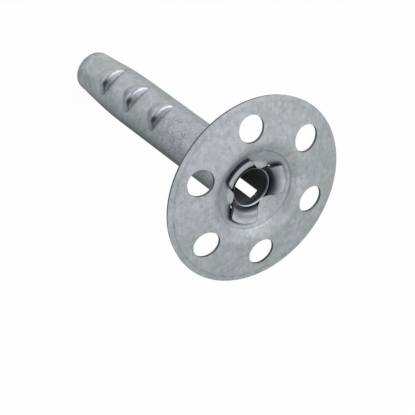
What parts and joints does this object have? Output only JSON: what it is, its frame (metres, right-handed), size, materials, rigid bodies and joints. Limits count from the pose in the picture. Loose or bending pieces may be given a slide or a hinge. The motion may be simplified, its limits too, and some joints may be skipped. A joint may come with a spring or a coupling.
{
  "type": "metal insulation fixing dowel",
  "caption": "Sheet steel fixing dowel: a dished holding disc with round rim holes, clinched onto a slit, barbed tube that tapers to its tip.",
  "frame": {"origin": "centre of the tube's shoulder, at the back face of the disc's hub where it seats", "axes": "+Z along the tube out of the wall, towards the disc's face; +X through the centre of a rim hole"},
  "size_m": [0.035, 0.035, 0.0539],
  "materials": {
    "disc_zinc": "dull zinc plating",
    "tube_zinc": "dull zinc plating"
  },
  "bodies": {
    "root": {"disc": "disc_zinc", "tube": "tube_zinc"}
  },
  "joints": []
}
